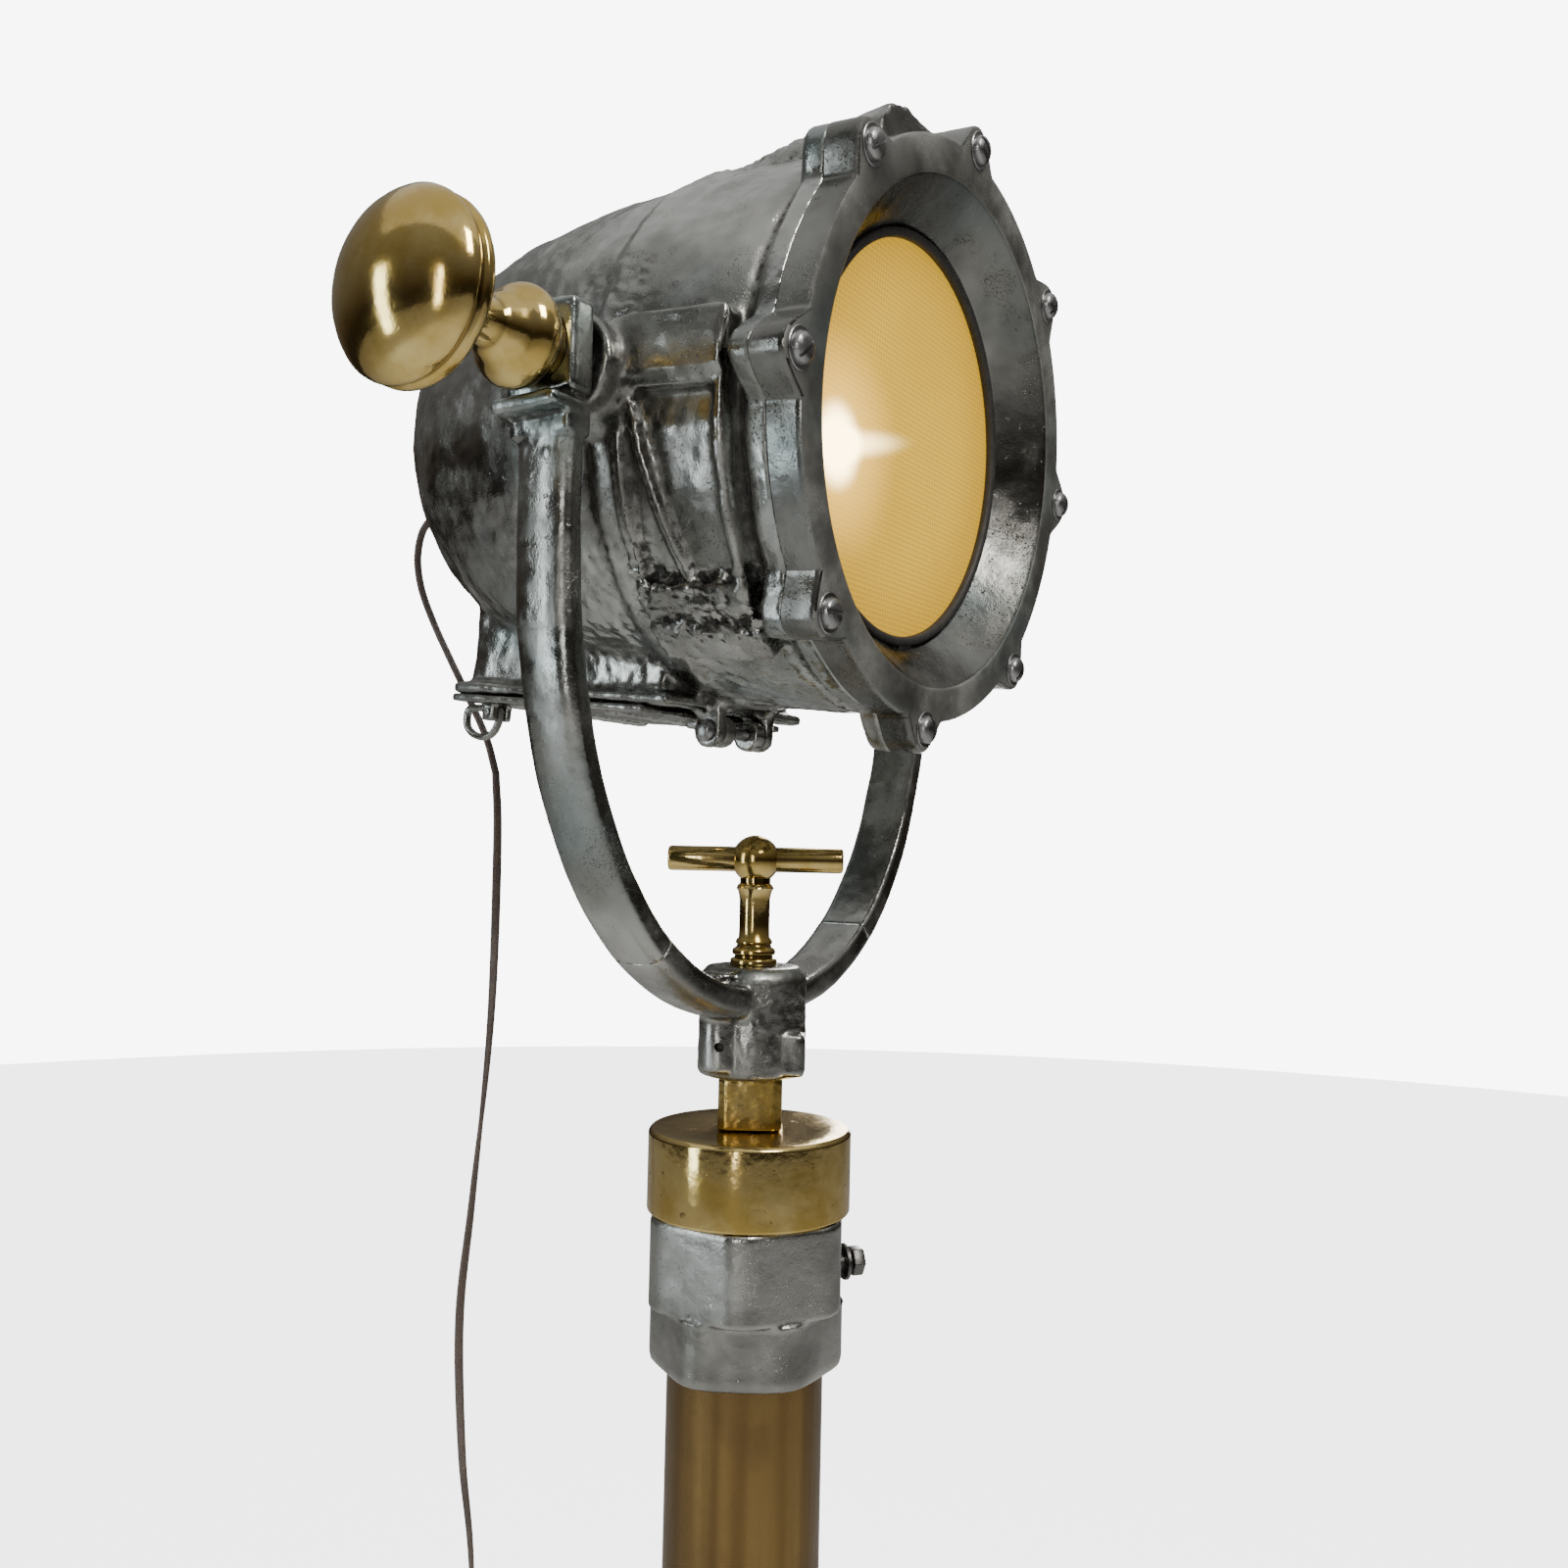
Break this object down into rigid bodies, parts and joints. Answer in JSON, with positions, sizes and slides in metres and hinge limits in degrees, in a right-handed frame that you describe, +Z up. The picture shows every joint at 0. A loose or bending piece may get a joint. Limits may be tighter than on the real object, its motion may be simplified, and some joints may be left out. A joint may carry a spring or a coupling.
{
  "type": "tripod floor lamp",
  "caption": "Floor lamp with a round cast searchlight head that tilts and pans in a fork on a brass column with folding tripod legs, a clamp knob, a T-handle and a mains cord.",
  "frame": {"origin": "on the floor, at the centre of the standing lamp's bounding box, without its cord", "axes": "+Z up; the beam points to -Y; the clamp knob is on the -X side"},
  "size_m": [0.7754, 0.8176, 1.739],
  "materials": {
    "castAluminium": "polished casting with pits and grime in its recesses",
    "brass": "polished, lightly tarnished",
    "satinBrass": "satin bronze tone",
    "steel": "dull turned steel",
    "reflectorAluminium": "bright",
    "amberGlass": "dimpled amber",
    "bulbGlass": "clear",
    "rubber": "matte",
    "ceramic": "glazed ceramic",
    "flex": "woven brown grey",
    "plastic": "moulded"
  },
  "bodies": {
    "column": {"neck_pintle": "brass", "pintle_nut": "steel", "column_cap": "brass", "column_collar": "castAluminium", "column_tube": "satinBrass", "tripod_hub": "castAluminium", "pivot_bolt_1": "steel", "pivot_bolt_2": "steel", "pivot_bolt_3": "steel", "cord_drop": "flex", "cord_floor": "flex", "cord_lead": "flex", "cord_coil": "flex", "cord_switch": "plastic", "mains_plug": "plastic"},
    "fork": {"fork_arm_left": "castAluminium", "fork_arm_right": "castAluminium", "fork_base": "castAluminium", "trunnion_nut": "steel"},
    "head": {"head_body": "castAluminium", "front_bezel": "castAluminium", "bezel_screw_1": "steel", "bezel_screw_2": "steel", "bezel_screw_3": "steel", "bezel_screw_4": "steel", "bezel_screw_5": "steel", "bezel_screw_6": "steel", "bezel_screw_7": "steel", "bezel_screw_8": "steel", "glass_gasket": "rubber", "front_glass": "amberGlass", "glass_retainer": "steel", "reflector": "reflectorAluminium", "bulb": "bulbGlass", "lamp_holder": "ceramic", "holder_bracket": "steel", "trunnion_stud_left": "steel", "trunnion_stud_right": "steel", "cord_gland": "brass", "strain_relief": "rubber", "cover_hinge_pin": "steel", "cord_loop": "flex"},
    "cover": {"bottom_cover": "castAluminium"},
    "catch": {"cover_catch": "castAluminium"},
    "knob": {"clamp_knob": "brass"},
    "handle": {"t_handle": "brass"},
    "bolt": {"collar_bolt": "steel"},
    "button": {"switch_button": "plastic"},
    "leg_1": {"leg_knuckle_1": "castAluminium", "leg_tube_1": "satinBrass", "foot_socket_1": "castAluminium", "foot_pad_1": "rubber"},
    "leg_2": {"leg_knuckle_2": "castAluminium", "leg_tube_2": "satinBrass", "foot_socket_2": "castAluminium", "foot_pad_2": "rubber"},
    "leg_3": {"leg_knuckle_3": "castAluminium", "leg_tube_3": "satinBrass", "foot_socket_3": "castAluminium", "foot_pad_3": "rubber"}
  },
  "joints": [
    {"name": "fork_pan", "type": "hinge", "parent": "column", "child": "fork", "pos_m": [0, 0.105, 1.3], "axis": [0, 0, 1], "range_deg": [-90, 90], "deforming": ["cord_drop"]},
    {"name": "head_tilt", "type": "hinge", "parent": "fork", "child": "head", "pos_m": [0, 0.105, 1.6], "axis": [1, 0, 0], "range_deg": [-30, 35], "deforming": ["cord_loop"]},
    {"name": "cover_hinge", "type": "hinge", "parent": "head", "child": "cover", "pos_m": [0, 0.11921, 1.45769], "axis": [-1, 0, 0], "range_deg": [0, 40]},
    {"name": "catch_swing", "type": "hinge", "parent": "cover", "child": "catch", "pos_m": [-0.05, 0.23477, 1.4678], "axis": [-1, 0, 0], "range_deg": [0, 70]},
    {"name": "clamp_knob_turn", "type": "hinge", "parent": "fork", "child": "knob", "pos_m": [-0.2, 0.105, 1.6], "axis": [-1, 0, 0], "range_deg": [0, 360]},
    {"name": "handle_turn", "type": "hinge", "parent": "fork", "child": "handle", "pos_m": [0, 0.105, 1.36], "axis": [0, 0, 1], "range_deg": [0, 360]},
    {"name": "collar_bolt_turn", "type": "hinge", "parent": "column", "child": "bolt", "pos_m": [0.03956, 0.07442, 1.194], "axis": [0.7912, -0.6115, 0], "range_deg": [0, 360]},
    {"name": "leg_fold_1", "type": "hinge", "parent": "column", "child": "leg_1", "pos_m": [0, 0.027, 0.62], "axis": [1, 0, 0], "range_deg": [0, 28]},
    {"name": "leg_fold_2", "type": "hinge", "parent": "column", "child": "leg_2", "pos_m": [0.06755, 0.144, 0.62], "axis": [-0.5, 0.866, 0], "range_deg": [0, 28]},
    {"name": "leg_fold_3", "type": "hinge", "parent": "column", "child": "leg_3", "pos_m": [-0.06755, 0.144, 0.62], "axis": [-0.5, -0.866, 0], "range_deg": [0, 28]},
    {"name": "switch_press", "type": "slide", "parent": "column", "child": "button", "axis": [0, 0, -1], "range_m": [0, 0.0015], "stiffness_N_per_m": 300}
  ]
}
